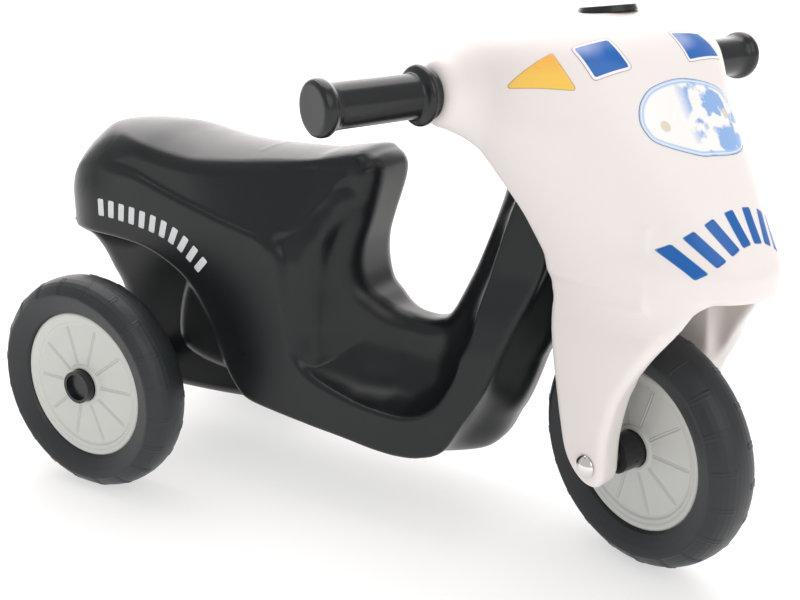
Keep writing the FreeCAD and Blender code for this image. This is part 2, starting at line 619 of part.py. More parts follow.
# ---------------------------------------------------------------- rest pose, row frame, files
doc.recompute()
for item in doc.Objects:
    if any(word in item.State for word in ("Invalid", "Error")):
        raise RuntimeError(f"{item.Name} ({item.Label}) failed: {item.State}")
for thing, place in pieces.values():
    thing.Placement = place
doc.recompute()
box = FreeCAD.BoundBox()
for thing, _ in pieces.values():
    box.add(thing.Shape.optimalBoundingBox(False))
to_row = moved(Vector(-box.Center.x, -box.Center.y, -box.ZMin))
os.makedirs(PARTS, exist_ok=True)
for node, (thing, place) in pieces.items():
    thing.Placement = to_row * place
doc.recompute()
for node, (thing, place) in pieces.items():
    shape = thing.Shape
    if shape.isNull() or not shape.isValid() or len(shape.Solids) != 1:
        raise RuntimeError(f"{node}: null, invalid or not one solid ({len(shape.Solids)})")
    shape.exportStep(f"{PARTS}/{node}.step")
    print(f"{node:24s} {shape.Volume / 1000:9.1f} cm3")
print("row origin in the scooter's frame:", box.Center.x, box.Center.y, box.ZMin)
print("size:", box.XLength, box.YLength, box.ZLength)
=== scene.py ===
import json
import math

import bpy
import numpy as np
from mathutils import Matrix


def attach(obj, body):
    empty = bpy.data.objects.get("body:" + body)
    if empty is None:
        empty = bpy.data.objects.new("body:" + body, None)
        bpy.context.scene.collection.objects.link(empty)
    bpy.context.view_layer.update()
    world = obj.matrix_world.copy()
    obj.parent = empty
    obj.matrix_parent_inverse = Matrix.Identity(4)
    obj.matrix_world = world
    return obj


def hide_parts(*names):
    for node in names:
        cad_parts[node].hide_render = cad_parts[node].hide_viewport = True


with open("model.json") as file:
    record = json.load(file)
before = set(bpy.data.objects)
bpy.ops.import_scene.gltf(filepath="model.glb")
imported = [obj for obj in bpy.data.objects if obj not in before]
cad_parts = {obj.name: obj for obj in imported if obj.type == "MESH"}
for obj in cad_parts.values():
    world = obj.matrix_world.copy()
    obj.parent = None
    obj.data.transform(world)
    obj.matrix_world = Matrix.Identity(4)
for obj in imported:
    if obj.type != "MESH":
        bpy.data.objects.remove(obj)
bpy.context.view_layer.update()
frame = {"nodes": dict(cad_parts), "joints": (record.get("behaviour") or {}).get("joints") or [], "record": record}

# Shapes are written in millimetres in the scooter's own frame: x forward, y to the
# left, z up, with the rear axle over x = 0.  The fork's shapes are written as it
# stands with the wheel straight ahead, and are then turned to the rest pose.
MM = 0.001
CELL = 1.9
TABLE_STEP = 1.0
OUTLINE_STEPS = 8

# ------------------------------------------------------------------ the row's frame


def joint(name):
    return next(j for j in frame["joints"] if j["name"] == name)


def hinge_point(name):
    return np.array(joint(name)["pos_m"], float) / MM


def hinge_axis(name):
    axis = np.array(joint(name)["axis"], float)
    return axis / np.linalg.norm(axis)


def rotation_about(axis, angle):
    """Rodrigues' matrix for a turn by angle about a unit axis."""
    x, y, z = axis
    cross = np.array([[0, -z, y], [z, 0, -x], [-y, x, 0]])
    return np.eye(3) + math.sin(angle) * cross + (1 - math.cos(angle)) * cross @ cross


WHEEL_RADIUS = 88.0
REAR_LEFT, REAR_RIGHT = hinge_point("rear_wheel_left_spin"), hinge_point("rear_wheel_right_spin")
ROW_FROM_SCOOTER = (REAR_LEFT + REAR_RIGHT) / 2 - np.array([0, 0, WHEEL_RADIUS])
STEER_POINT = hinge_point("steering")
STEER_AXIS = hinge_axis("steering")
REST_TURN = -math.acos(hinge_axis("front_wheel_spin")[1])
FORK_TURN = rotation_about(STEER_AXIS, REST_TURN)


def body_to_row(points):
    return points + ROW_FROM_SCOOTER


def fork_to_row(points):
    """Straight-ahead fork coordinates to the row frame at rest."""
    return (points + ROW_FROM_SCOOTER - STEER_POINT) @ FORK_TURN.T + STEER_POINT


# ------------------------------------------------------- distances and soft joins


def smooth_loop(points):
    """A closed Catmull-Rom curve through the points."""
    p = np.array(points, float)
    a, b, c, d = np.roll(p, 1, 0), p, np.roll(p, -1, 0), np.roll(p, -2, 0)
    t = np.linspace(0, 1, OUTLINE_STEPS, endpoint=False)[None, :, None]
    a, b, c, d = a[:, None], b[:, None], c[:, None], d[:, None]
    curve = 0.5 * (2 * b + (c - a) * t + (2 * a - 5 * b + 4 * c - d) * t ** 2
                   + (3 * b - a - 3 * c + d) * t ** 3)
    return curve.reshape(-1, 2)


def loop_distance(points, loop):
    """Signed distance of 2-D points to a closed polygon, negative inside."""
    best = np.full(len(points), 1e18)
    inside = np.zeros(len(points), bool)
    for a, b in zip(loop, np.roll(loop, -1, 0)):
        ab, ap = b - a, points - a
        t = np.clip((ap @ ab) / max(ab @ ab, 1e-12), 0, 1)
        best = np.minimum(best, ((ap - t[:, None] * ab) ** 2).sum(1))
        spans = (a[1] > points[:, 1]) != (b[1] > points[:, 1])
        if ab[1] != 0:
            inside ^= spans & (points[:, 0] < a[0] + (points[:, 1] - a[1]) * ab[0] / ab[1])
    return np.where(inside, -1, 1) * np.sqrt(best)


class OutlineTable:
    """Distance to a side outline, tabled once over the x-z plane and read by interpolation."""

    margin = 70.0

    def __init__(self, points):
        loop = smooth_loop(points)
        self.start = loop.min(0) - self.margin
        count = np.ceil((loop.max(0) + self.margin - self.start) / TABLE_STEP).astype(int) + 1
        x = self.start[0] + TABLE_STEP * np.arange(count[0])
        z = self.start[1] + TABLE_STEP * np.arange(count[1])
        grid = np.stack(np.meshgrid(x, z, indexing="ij"), -1).reshape(-1, 2)
        self.value = loop_distance(grid, loop).reshape(count)

    def __call__(self, x, z):
        u = np.clip((x - self.start[0]) / TABLE_STEP, 0, self.value.shape[0] - 1.001)
        v = np.clip((z - self.start[1]) / TABLE_STEP, 0, self.value.shape[1] - 1.001)
        u, v = np.broadcast_arrays(u, v)
        i, j = u.astype(int), v.astype(int)
        fu, fv = u - i, v - j
        t = self.value
        return ((t[i, j] * (1 - fu) + t[i + 1, j] * fu) * (1 - fv)
                + (t[i, j + 1] * (1 - fu) + t[i + 1, j + 1] * fu) * fv)


def both(a, b, radius):
    """Inside a and b, with the edge between them rounded to the radius."""
    return (np.minimum(np.maximum(a, b), -radius)
            + np.hypot(np.maximum(a + radius, 0), np.maximum(b + radius, 0)))


def either(a, b, radius):
    """Inside a or b, with the corner between them filled to the radius."""
    return -both(-a, -b, radius)


def without(a, b, radius):
    return both(a, -b, radius)


def ramp(value, low, high):
    """0 below low, 1 above high and a smooth step between."""
    t = np.clip((value - low) / (high - low), 0, 1)
    return t * t * (3 - 2 * t)


def along(value, table):
    """A smooth read of a table of (position, value) pairs."""
    at, out = np.array(table, float).T
    fine = np.linspace(at[0], at[-1], 400)
    rough = np.interp(fine, at, out)
    width = max(3, int(round(14 / (fine[1] - fine[0]))) | 1)
    kernel = np.hanning(width + 2)[1:-1]
    padded = np.pad(rough, width // 2, mode="reflect", reflect_type="odd")
    return np.interp(value, fine, np.convolve(padded, kernel / kernel.sum(), "valid"))


# ------------------------------------------------------------- surface from a field


def surface_net(field, low, high, cell):
    """Vertices and quads of the field's zero surface on a regular grid."""
    axes = [np.arange(a - cell, b + 2 * cell, cell) for a, b in zip(low, high)]
    f = field(axes[0][:, None, None], axes[1][None, :, None], axes[2][None, None, :])
    f = np.ascontiguousarray(np.broadcast_to(f, [len(a) for a in axes]))
    inside = f < 0
    corner = [f[i:f.shape[0] - 1 + i, j:f.shape[1] - 1 + j, k:f.shape[2] - 1 + k]
              for i in (0, 1) for j in (0, 1) for k in (0, 1)]
    total = sum((c < 0).astype(np.int8) for c in corner)
    cells = np.argwhere((total > 0) & (total < 8))
    values = np.stack([c[tuple(cells.T)] for c in corner], 1)
    offset = np.array([(i, j, k) for i in (0, 1) for j in (0, 1) for k in (0, 1)], float)
    place, count = np.zeros((len(cells), 3)), np.zeros(len(cells))
    for a in range(8):
        for step in (1, 2, 4):
            b = a | step
            if b == a:
                continue
            va, vb = values[:, a], values[:, b]
            cut = (va < 0) != (vb < 0)
            t = np.where(cut, va / np.where(cut, va - vb, 1), 0)
            place += cut[:, None] * (offset[a] + t[:, None] * (offset[b] - offset[a]))
            count += cut
    vertices = np.array([a[0] for a in axes]) + cell * (cells + place / count[:, None])
    index = np.full(total.shape, -1, np.int64)
    index[tuple(cells.T)] = np.arange(len(cells))
    quads = []
    for axis in range(3):
        first = np.take(inside, range(0, inside.shape[axis] - 1), axis)
        second = np.take(inside, range(1, inside.shape[axis]), axis)
        u, v = [a for a in range(3) if a != axis]
        edges = np.argwhere(first != second)
        edges = edges[(edges[:, u] > 0) & (edges[:, v] > 0)
                      & (edges[:, u] < total.shape[u]) & (edges[:, v] < total.shape[v])]
        outward = first[tuple(edges.T)]
        ring = []
        for du, dv in ((0, 0), (1, 0), (1, 1), (0, 1)):
            at = edges.copy()
            at[:, u] -= du
            at[:, v] -= dv
            ring.append(index[tuple(at.T)])
        quad = np.stack(ring, 1)
        flip = outward if axis != 1 else ~outward
        quad[~flip] = quad[~flip][:, ::-1]
        quads.append(quad)
    return vertices, np.concatenate(quads)


def slope(field, points, step=0.4):
    """Gradient of a field by central differences."""
    out = np.zeros_like(points)
    for axis in range(3):
        shift = np.zeros(3)
        shift[axis] = step
        ahead, behind = points + shift, points - shift
        out[:, axis] = (field(*ahead.T) - field(*behind.T)) / (2 * step)
    return out


def settle(field, points, rounds):
    """Newton steps that bring points onto the field's zero surface."""
    for _ in range(rounds):
        g = slope(field, points)
        step = field(*points.T)[:, None] * g / np.maximum((g ** 2).sum(1), 0.05)[:, None]
        length = np.linalg.norm(step, axis=1)[:, None]
        points = points - step * np.minimum(1, CELL / np.maximum(length, 1e-9))
    return points


# --------------------------------------------------------------------- body shell

SEAT_OUTLINE = OutlineTable([
    (-98, 205), (-101, 225), (-97, 250), (-84, 270), (-62, 281), (-35, 285), (0, 284.5),
    (30, 279), (60, 275), (100, 273.5), (150, 274), (176, 276), (194, 278), (199, 277),
    (192, 265), (181, 249), (170, 233), (162, 221), (154, 214), (146, 211), (138, 200),
    (100, 150), (40, 190), (-60, 196)])
HORN_OUTLINE = OutlineTable([
    (40, 110), (120, 90), (155, 97), (169, 106), (172, 118), (168, 140), (169, 162),
    (173, 181), (181, 209), (189, 233), (194, 247), (188, 255), (150, 255), (100, 250),
    (60, 200)])
MIDDLE_OUTLINE = OutlineTable([
    (100, 262), (130, 266), (160, 271), (178, 275), (196, 278), (208, 276), (214.5, 268),
    (214, 256), (209, 238), (203, 220), (197.5, 203), (195.5, 187), (200, 173), (211, 165),
    (225, 156), (245, 152), (258, 153), (268, 159), (278, 175), (290, 201), (301, 229),
    (310, 254), (322, 285), (350, 294), (392, 290), (384, 262), (371, 212), (357, 180),
    (348, 160), (340, 146), (334, 134), (324, 102), (317, 88), (307, 69), (290, 62),
    (240, 63), (190, 67), (150, 90), (120, 120)])
NOSE_OUTLINE = OutlineTable([
    (326, 285), (350, 292), (392, 290), (384, 262), (371, 212), (357, 180), (348, 160),
    (340, 146), (334, 134), (324, 102), (317, 88), (307, 69), (290, 62), (240, 62),
    (240, 80), (272, 84), (290, 110), (304, 160), (316, 220)])
KEEL_OUTLINE = OutlineTable([
    (-32, 64), (98, 66), (120, 80), (120, 180), (-80, 200), (-92, 187), (-74, 180),
    (-62, 169), (-53, 155), (-44, 141), (-38, 115), (-34, 90)])
PANEL_OUTLINE = OutlineTable([
    (-98, 200), (-101, 225), (-97, 250), (-84, 270), (-62, 279), (-35, 280), (-20, 274),
    (-10, 260), (8, 250), (42, 238), (89, 224), (116, 217), (138, 212), (150, 208),
    (158, 190), (163, 150), (167, 125), (170, 112), (184, 104), (207, 97), (229, 93),
    (251, 91), (265, 93), (276, 98), (286, 108), (296, 127), (300, 142), (307, 158),
    (313.6, 191), (330.6, 253.6), (350, 288), (372, 290), (366, 250), (355, 205), (341, 174),
    (331.5, 148.6), (320, 118), (305, 92), (290, 69), (272, 60), (252, 57.5), (229, 59),
    (199, 63), (167, 66.5), (128, 72), (113, 75.5), (105, 81), (94, 96), (86, 117), (77, 138),
    (63, 159), (44, 175), (14, 188), (-18, 193), (-55, 195), (-80, 194)])

PANEL_HALF, KEEL_HALF, NOSE_HALF = 65.0, 46.0, 32.0
SKIRT_HALF = [(-104, 61.5), (138, 61.5), (150, 59), (164, 52), (176, 44), (188, 36), (200, 30)]
HORN_HALF = [(90, 64), (150, 64), (195, 61), (212, 57), (226, 51), (240, 43), (252, 35),
             (266, 28)]
MIDDLE_HALF = [(90, 34), (185, 30), (206, 28), (235, 17), (400, 17)]
RIM_HALF = [(-104, 60), (60, 60), (100, 52), (140, 42), (165, 36), (190, 31), (220, 26)]
RIM_HEIGHT = 263.0
CREASE_HEIGHT = [(-104, 236), (42, 236), (116, 217), (150, 212), (164, 226), (176, 244),
                 (188, 258), (200, 262)]
NECK_HALF = [(60, 62), (92, 62), (150, 55), (205, 44), (262, 38), (292, 28)]
TAIL_CENTRE, TAIL_RADIUS = (-38.0, 3.0), 62.0
CROWN_DROP, CROWN_WIDTH = 9.5, 52.0
LEAST_FALL, LEAST_RUN, SKIRT_REACH, SEAT_INSET = 4.0, 12.0, 1.15, 0.6
SEAT_EDGE, SEAT_TAIL_EDGE, SEAT_FRONT_EDGE = 9.0, 27.0, 5.0
PANEL_EDGE, PANEL_TAIL_EDGE, PANEL_FRONT_EDGE = 4.0, 32.0, 9.0
KEEL_EDGE, KEEL_TAIL_EDGE = 10.0, 12.0
SCOOP_TOP, SCOOP_FOOT, POMMEL_SHARPENING = 16.0, 24.0, 0.7
SKIRT_JOIN, SKIRT_FRONT_JOIN = 1.2, 7.0
HEAD_RADIUS, HEAD_MIDDLE, HEAD_TOP = 23.0, 170.0, 206.0
STEER_FOOT = (402.87, 88.0)


def tail_plan(x, q):
    """Distance outside the tail's round end, seen from above."""
    dx = np.minimum(x - TAIL_CENTRE[0], 0)
    return np.where(x < TAIL_CENTRE[0],
                    np.hypot(dx, np.maximum(q - TAIL_CENTRE[1], 0)) - TAIL_RADIUS,
                    q - TAIL_CENTRE[1] - TAIL_RADIUS)


def tail_shrink(x, z):
    """How far the tail's round end draws in towards its top."""
    return 13.0 * ramp(z, 222, 282) * (1 - ramp(x, -70, 10))


def crowned(x, q, z):
    """Height with the seat's crown taken out, so that its top falls away to the sides."""
    drop = CROWN_DROP * (q / CROWN_WIDTH) ** 2
    return z + drop * ramp(z, 215, 262) * (1 - ramp(x, 215, 250))


def seat_field(x, q, z):
    """The cushion, and the skirt that spreads from its rim down to the crease."""
    rim, skirt = along(x, RIM_HALF), along(x, SKIRT_HALF)
    fall, widening = RIM_HEIGHT - along(x, CREASE_HEIGHT), skirt - rim
    down = np.clip((RIM_HEIGHT - z) / np.maximum(fall, LEAST_FALL), 0, SKIRT_REACH)
    side = q - (rim + widening * down)
    side = side / np.sqrt(1 + (widening / np.maximum(fall, LEAST_RUN)) ** 2)
    edge = (SEAT_EDGE + SEAT_TAIL_EDGE * (1 - ramp(x, -75, 10))
            - SEAT_FRONT_EDGE * ramp(x, 120, 170))
    side = np.maximum(side, tail_plan(x, q) + SEAT_INSET + tail_shrink(x, z))
    return both(SEAT_OUTLINE(x, crowned(x, q, z)), side, edge)


def horn_field(x, q, z):
    """The panel's rounded front, which runs up to the pommel."""
    return both(HORN_OUTLINE(x, z), q - along(z, HORN_HALF), 16.0)


def panel_field(x, q, z):
    """The side panels, the tail, the foot rail and the sides of the neck."""
    half = PANEL_HALF - ramp(x, 225, 300) * (PANEL_HALF - along(z, NECK_HALF))
    edge = (PANEL_EDGE + PANEL_TAIL_EDGE * ramp(z, 212, 262) * (1 - ramp(x, -60, 20))
            + PANEL_FRONT_EDGE * ramp(z, 108, 125) * ramp(x, 125, 150) * (1 - ramp(x, 175, 200)))
    side = np.maximum(q - half, tail_plan(x, q) + tail_shrink(x, z))
    return both(PANEL_OUTLINE(x, z), side, edge)


def middle_field(x, q, z):
    """The pommel, the front of the pedestal, the low saddle and the neck's ridge."""
    half = along(x, MIDDLE_HALF) + 4 * ramp(z, 225, 262) * (1 - ramp(x, 215, 235))
    return both(MIDDLE_OUTLINE(x, crowned(x, q, z)), q - half, 14.0)


def nose_field(x, q, z):
    """The round front of the neck."""
    return both(NOSE_OUTLINE(x, z), q - NOSE_HALF, 30.0)


def keel_field(x, q, z):
    """The keel under the seat, which holds the rear axle."""
    edge = KEEL_EDGE + KEEL_TAIL_EDGE * (1 - ramp(x, -30, 20))
    return both(KEEL_OUTLINE(x, z), q - KEEL_HALF, edge)


def head_field(x, q, z):
    """The round head that carries the steering pin."""
    ahead, above = x - STEER_FOOT[0], z - STEER_FOOT[1]
    rise = ahead * STEER_AXIS[0] + above * STEER_AXIS[2]
    away = ahead * STEER_AXIS[2] - above * STEER_AXIS[0]
    return both(np.hypot(away, q) - HEAD_RADIUS,
                np.abs(rise - HEAD_MIDDLE) - (HEAD_TOP - HEAD_MIDDLE), 2.5)


def body_field(x, y, z):
    """The whole body, its parts softly joined; the scoop's hollow is widest at the foot."""
    q = np.abs(y)
    side = either(panel_field(x, q, z), horn_field(x, q, z), 1.0)
    hollow = SCOOP_TOP + SCOOP_FOOT * (1 - ramp(z, 165, 225)) * ramp(x, 150, 175)
    hollow = hollow * (1 - POMMEL_SHARPENING * ramp(z, 236, 262))
    f = either(side, middle_field(x, q, z), hollow)
    f = either(f, seat_field(x, q, z), SKIRT_JOIN + SKIRT_FRONT_JOIN * ramp(x, 152, 176))
    f = either(f, nose_field(x, q, z), 12.0)
    f = either(f, keel_field(x, q, z), 3.0)
    return either(f, head_field(x, q, z), 6.0)


# -------------------------------------------------------------- shield and fork legs

LEG_OUTLINE = OutlineTable([
    (387, 232), (385.5, 197), (388, 165), (394, 130), (399, 106), (403, 92), (410, 80),
    (418, 73), (426, 72), (432, 75), (435.5, 82), (436, 92), (437, 107), (440.5, 124),
    (446, 142), (455, 158), (465, 173), (476, 186), (488, 197), (499, 208), (500, 222),
    (480, 240), (430, 250), (398, 248)])
SHIELD_REAR = [(190, 389), (204, 389), (232, 386), (262, 373), (290, 355), (318, 331),
               (345, 314), (366, 322), (384, 345)]
SHIELD_NOSE = [(190, 512), (215, 517), (235, 518), (260, 500), (290, 480), (320, 459),
               (344, 444), (360, 433), (372, 421), (384, 405)]
SHIELD_HALF = [(190, 55), (204, 57), (230, 64), (255, 72), (275, 80), (290, 86), (305, 91),
               (318, 94), (345, 94), (366, 90), (384, 80)]
TOP_HEIGHT, TOP_CROWN, FLANK_FULLNESS = 383.0, 0.0021, 0.4
BAR = (328.9, 334.4)
ARM_END = 109.5
ARM = [(50, 38), (80, 29), (90, 26), (100, 23), (109, 20.8)]
LEG_INNER, LEG_OUTER, LEG_SLANT = 30.5, 57.0, 0.22
LIP_HEIGHT = 217.0
BRIDGE = dict(middle=428.0, reach=38.0, low=208.0, high=260.0, half=50.0)
NOSE_WALL, NOSE_HOLLOW_TOP, NOSE_HOLLOW_BACK = 7.0, 238.0, 452.0
THROAT = dict(rear=280.0, front=392.0, low=190.0, high=301.0)
THROAT_HALF = [(190, 51), (245, 52), (268, 61), (310, 61)]


def shell_plan(x, q, z):
    """Distance to the level section at each height: half an oval, fuller near the top."""
    side = along(z, SHIELD_REAR) + 24 * ramp(z, 285, 335)
    nose, half = along(z, SHIELD_NOSE), along(z, SHIELD_HALF)
    a, dx = np.maximum(nose - side, 20), np.maximum(x - side, 0)
    n = 2.1 + FLANK_FULLNESS * ramp(z, 322, 358)
    u, v = dx / a + 1e-6, q / half + 1e-6
    k = (u ** n + v ** n) ** (1 / n)
    grad = np.hypot(u ** (n - 1) / a, v ** (n - 1) / half) / k ** (n - 1)
    return (k - 1) / np.maximum(grad, 0.002)


def shell_field(x, q, z):
    """The shield's outer form, from its lip to its crowned top."""
    top = z - (TOP_HEIGHT - TOP_CROWN * q ** 2 - 0.012 * np.maximum(352 - x, 0) ** 2)
    body = both(shell_plan(x, q, z), top, 18.0)
    body = both(body, along(z, SHIELD_REAR) - x, 9.0)
    return both(body, LIP_HEIGHT - z, 4.0)


def arm_field(x, q, z):
    """The tapering sleeve round the handlebar on each side."""
    return both(np.hypot(x - BAR[0], z - BAR[1]) - along(q, ARM), q - ARM_END, 6.5)


def leg_field(x, q, z):
    """One fork leg, whose front edge slants with the distance from the wheel."""
    side = np.maximum(LEG_INNER - q, q - LEG_OUTER)
    slant = LEG_SLANT * (q - LEG_INNER) * ramp(x, 405, 432) * (1 - ramp(z, 165, 200))
    leg = both(LEG_OUTLINE(x - slant, z), side, 8.0)
    return both(leg, shell_plan(x, q, z) - 8 * (1 - ramp(z, 165, 205)), 8.0)


def bridge_field(x, q, z):
    """The bridge between the legs, under the nose."""
    block = np.maximum(np.abs(x - BRIDGE["middle"]) - BRIDGE["reach"],
                       np.maximum(BRIDGE["low"] - z, z - BRIDGE["high"]))
    return np.maximum(block, q - BRIDGE["half"])


def nose_hollow(x, q, z):
    """The space under the nose, over the wheel."""
    plan = shell_plan(x, q, z) + NOSE_WALL
    return both(both(plan, z - NOSE_HOLLOW_TOP, 10.0), NOSE_HOLLOW_BACK - x, 8.0)


def throat_field(x, q, z):
    """The space at the back that the neck and the steering head stand in."""
    box = both(THROAT["rear"] - x, x - THROAT["front"], 3.0)
    box = both(box, both(z - THROAT["high"], THROAT["low"] - z, 3.0), 8.0)
    return both(box, q - along(z, THROAT_HALF), 8.0)


def shield_field(x, y, z):
    """The whole shield and fork, with its sleeves and legs, less the hollows."""
    q = np.abs(y)
    f = either(shell_field(x, q, z), arm_field(x, q, z), 20.0)
    f = either(f, leg_field(x, q, z), 10.0)
    f = either(f, bridge_field(x, q, z), 6.0)
    f = without(f, nose_hollow(x, q, z), 3.0)
    return without(f, throat_field(x, q, z), 5.0)


# ------------------------------------------------------------------- mesh helpers


def ride_on(name, mesh, body, material):
    """Puts a finished mesh in the scene, smooth shaded, on a CAD body."""
    mesh.polygons.foreach_set("use_smooth", [True] * len(mesh.polygons))
    mesh.materials.append(material)
    piece = bpy.data.objects.new(name, mesh)
    bpy.context.scene.collection.objects.link(piece)
    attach(piece, body)
    return piece


def new_piece(name, vertices, faces, body, material, replaces=()):
    """A mesh of equal faces, in row millimetres, that may stand for CAD nodes."""
    mesh = bpy.data.meshes.new(name)
    vertices = np.asarray(vertices, np.float32) * MM
    faces = np.asarray(faces)
    mesh.vertices.add(len(vertices))
    mesh.vertices.foreach_set("co", vertices.ravel())
    corners = faces.shape[1]
    mesh.loops.add(faces.size)
    mesh.loops.foreach_set("vertex_index", faces.ravel().astype(np.int32))
    mesh.polygons.add(len(faces))
    mesh.polygons.foreach_set("loop_start", (np.arange(len(faces)) * corners).astype(np.int32))
    mesh.update(calc_edges=True)
    mesh.validate()
    piece = ride_on(name, mesh, body, material)
    if replaces:
        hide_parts(*replaces)
    return piece


def add_values(piece, name, values):
    """A number at each vertex that the piece's material reads."""
    layer = piece.data.attributes.new(name, "FLOAT", "POINT")
    layer.data.foreach_set("value", np.asarray(values, np.float32))


# --------------------------------------------------------------------- materials


def node(tree, kind, **values):
    """A shader node with its named inputs set."""
    made = tree.nodes.new(kind)
    for name, value in values.items():
        made.inputs[name.replace("_", " ")].default_value = value
    return made


def noise(tree, scale, detail, source):
    made = node(tree, "ShaderNodeTexNoise", Scale=scale, Detail=detail)
    tree.links.new(source.outputs["Object"], made.inputs["Vector"])
    return made.outputs["Fac"]


def spread(tree, value, low, high):
    """Maps 0..1 to low..high."""
    made = node(tree, "ShaderNodeMapRange", To_Min=low, To_Max=high)
    tree.links.new(value, made.inputs["Value"])
    return made.outputs["Result"]


def math_node(tree, operation, a, b=0.0):
    made = tree.nodes.new("ShaderNodeMath")
    made.operation = operation
    for socket, value in zip(made.inputs, (a, b)):
        if isinstance(value, (int, float)):
            socket.default_value = value
        else:
            tree.links.new(value, socket)
    return made.outputs[0]


def mixed(tree, share, a, b):
    """Colour a where share is 0 and b where it is 1; each is a colour or an output."""
    made = tree.nodes.new("ShaderNodeMix")
    made.data_type = "RGBA"
    tree.links.new(share, made.inputs["Factor"])
    for name, value in (("A", a), ("B", b)):
        socket = next(s for s in made.inputs if s.name == name and s.type == "RGBA")
        if isinstance(value, tuple):
            socket.default_value = value
        else:
            tree.links.new(value, socket)
    return next(s for s in made.outputs if s.type == "RGBA")


def read_value(tree, name):
    made = tree.nodes.new("ShaderNodeAttribute")
    made.attribute_name = name
    return made.outputs["Fac"]


def finish_material(name, colour, worn, rough, grain, bump, ior=1.48, metal=0.0,
                    specular=0.5, detail=None, wear=0.35):
    """A moulded or metal surface: fine grain, uneven gloss and faint handling wear.

    detail(tree, colour, height) may add printed or moulded marks to the colour and height."""
    made = bpy.data.materials.new(name)
    made.use_nodes = True
    tree = made.node_tree
    shader = tree.nodes["Principled BSDF"]
    place = tree.nodes.new("ShaderNodeTexCoord")
    fine, broad = noise(tree, grain, 3.0, place), noise(tree, 22.0, 4.0, place)
    scuffs = noise(tree, 140.0, 6.0, place)
    patch = spread(tree, math_node(tree, "MULTIPLY", broad, scuffs), 0.0, wear)
    tint = mixed(tree, patch, colour, worn)
    height = fine
    if detail:
        tint, height = detail(tree, tint, height)
    tree.links.new(tint, shader.inputs["Base Color"])
    gloss = math_node(tree, "ADD", spread(tree, broad, rough - 0.05, rough + 0.05),
                      spread(tree, scuffs, -0.03, 0.03))
    tree.links.new(gloss, shader.inputs["Roughness"])
    relief = node(tree, "ShaderNodeBump", Strength=bump, Distance=0.0004)
    tree.links.new(height, relief.inputs["Height"])
    tree.links.new(relief.outputs["Normal"], shader.inputs["Normal"])
    shader.inputs["IOR"].default_value = ior
    shader.inputs["Specular IOR Level"].default_value = specular
    shader.inputs["Metallic"].default_value = metal
    return made


def seam_lines(tree, colour, height):
    """The mould's parting line along the middle, and the cushion's front line."""
    for name in ("seam", "cushion_line"):
        away = math_node(tree, "ABSOLUTE", read_value(tree, name))
        line = node(tree, "ShaderNodeMapRange", From_Min=0.15, From_Max=0.5, To_Min=1.0, To_Max=0.0)
        tree.links.new(away, line.inputs["Value"])
        share = line.outputs["Result"]
        colour = mixed(tree, math_node(tree, "MULTIPLY", share, 0.85), colour, INK)
        height = math_node(tree, "SUBTRACT", height, math_node(tree, "MULTIPLY", share, 1.5))
    return colour, height


def rim_shades(tree, colour, height):
    """Dust and shade gathered along the moulded loops."""
    share = math_node(tree, "MINIMUM", math_node(tree, "ABSOLUTE", read_value(tree, "lift")), 0.5)
    return mixed(tree, share, colour, (0.22, 0.22, 0.20, 1)), height


INK = (0.002, 0.002, 0.003, 1)
BODY_BLACK, BODY_WORN = (0.0050, 0.0068, 0.0080, 1), (0.014, 0.016, 0.018, 1)
SHIELD_WHITE, SHIELD_WORN = (0.86, 0.81, 0.79, 1), (0.80, 0.74, 0.715, 1)
RIM_GREY, RIM_WORN = (0.62, 0.63, 0.60, 1), (0.52, 0.53, 0.50, 1)
RUBBER, RUBBER_WORN = (0.013, 0.017, 0.020, 1), (0.036, 0.037, 0.039, 1)
TRIM_BLACK, TRIM_WORN = (0.007, 0.009, 0.010, 1), (0.018, 0.019, 0.020, 1)
BUSH_BLACK = (0.012, 0.015, 0.016, 1)
STEEL, STEEL_WORN = (0.50, 0.49, 0.47, 1), (0.36, 0.35, 0.33, 1)
CHROME, CHROME_WORN = (0.80, 0.78, 0.77, 1), (0.62, 0.60, 0.58, 1)

body_plastic = finish_material("body_plastic", BODY_BLACK, BODY_WORN, 0.30, 2600, 0.08,
                               specular=0.42, detail=seam_lines)
shield_plastic = finish_material("shield_plastic", SHIELD_WHITE, SHIELD_WORN, 0.42, 2400, 0.08)
rim_plastic = finish_material("rim_plastic", RIM_GREY, RIM_WORN, 0.45, 2600, 0.08)
tyre_rubber = finish_material("tyre_rubber", RUBBER, RUBBER_WORN, 0.42, 1900, 0.25)
grip_plastic = finish_material("grip_plastic", TRIM_BLACK, TRIM_WORN, 0.24, 2400, 0.06)
rim_face = finish_material("rim_face", RIM_GREY, RIM_WORN, 0.45, 2600, 0.08, detail=rim_shades)
trim_plastic = finish_material("black_trim", TRIM_BLACK, TRIM_WORN, 0.28, 2400, 0.08)
bush_plastic = finish_material("bush_plastic", BUSH_BLACK, TRIM_WORN, 0.40, 2400, 0.10)
bare_steel = finish_material("steel", STEEL, STEEL_WORN, 0.30, 3000, 0.06, metal=1.0)
bright_chrome = finish_material("chrome", CHROME, CHROME_WORN, 0.14, 3000, 0.03, metal=1.0)

SLOT_MATERIAL = dict(body_plastic=body_plastic, shield_plastic=shield_plastic,
                     rim_plastic=rim_plastic, tyre_rubber=tyre_rubber,
                     grip_plastic=grip_plastic, black_trim=trim_plastic,
                     bush_plastic=bush_plastic, steel=bare_steel, chrome=bright_chrome)


def dress_cad_nodes():
    """Gives every CAD node the procedural finish of its slot in the record."""
    for part in frame["record"]["subparts"]:
        cad = frame["nodes"][part["node"]]
        cad.data.materials.clear()
        cad.data.materials.append(SLOT_MATERIAL[part["material_slot"]])


# ------------------------------------------------------------------ moulded pieces


